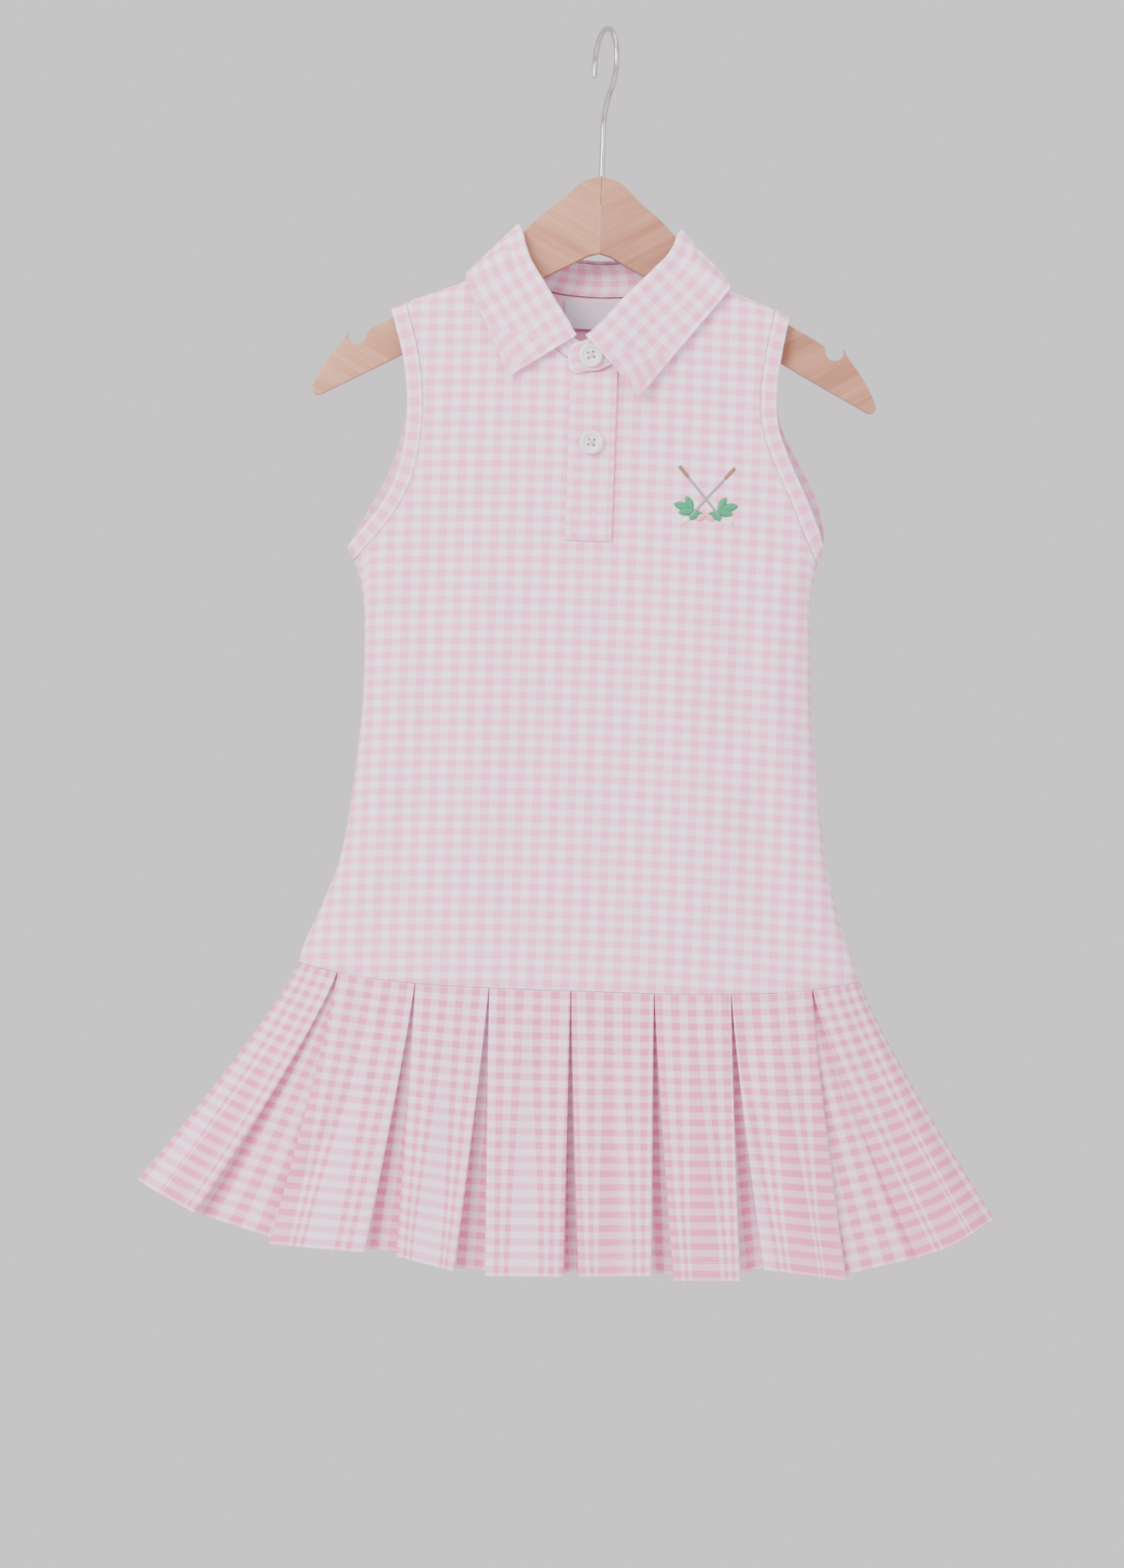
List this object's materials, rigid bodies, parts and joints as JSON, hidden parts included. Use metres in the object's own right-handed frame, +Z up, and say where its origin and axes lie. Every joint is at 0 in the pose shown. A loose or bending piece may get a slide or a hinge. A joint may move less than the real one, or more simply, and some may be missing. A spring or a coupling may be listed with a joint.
{
  "type": "golf dress on a hanger",
  "caption": "Child's sleeveless gingham golf dress with polo collar, buttoned placket and box-pleated dropped skirt, hanging on a wooden hanger.",
  "frame": {"origin": "inner top of the hanger's hook, where it rests on what carries it", "axes": "+Z up, +X along the hanger to the right as the front is seen, -Y out of the dress's front"},
  "size_m": [0.534, 0.093, 0.7759],
  "materials": {
    "check_knit": "pink and white gingham knit, soft and matte",
    "check_knit_skirt": "the same gingham in the pleated skirt, a little deeper in colour",
    "label_satin": "bare satin label",
    "pearl": "pearl button, glossy",
    "beech": "lacquered beech, satin",
    "steel": "plated steel wire"
  },
  "bodies": {
    "root": {"bodice_front": "check_knit", "bodice_back": "check_knit", "skirt_front": "check_knit_skirt", "skirt_back": "check_knit_skirt", "armhole_band_left": "check_knit", "armhole_band_right": "check_knit", "collar_stand": "check_knit", "collar_leaf": "check_knit", "placket": "check_knit", "button_collar": "pearl", "button_placket": "pearl", "neck_label": "label_satin", "hanger_half_left": "beech", "hanger_half_right": "beech", "hanger_hook": "steel"}
  },
  "joints": []
}
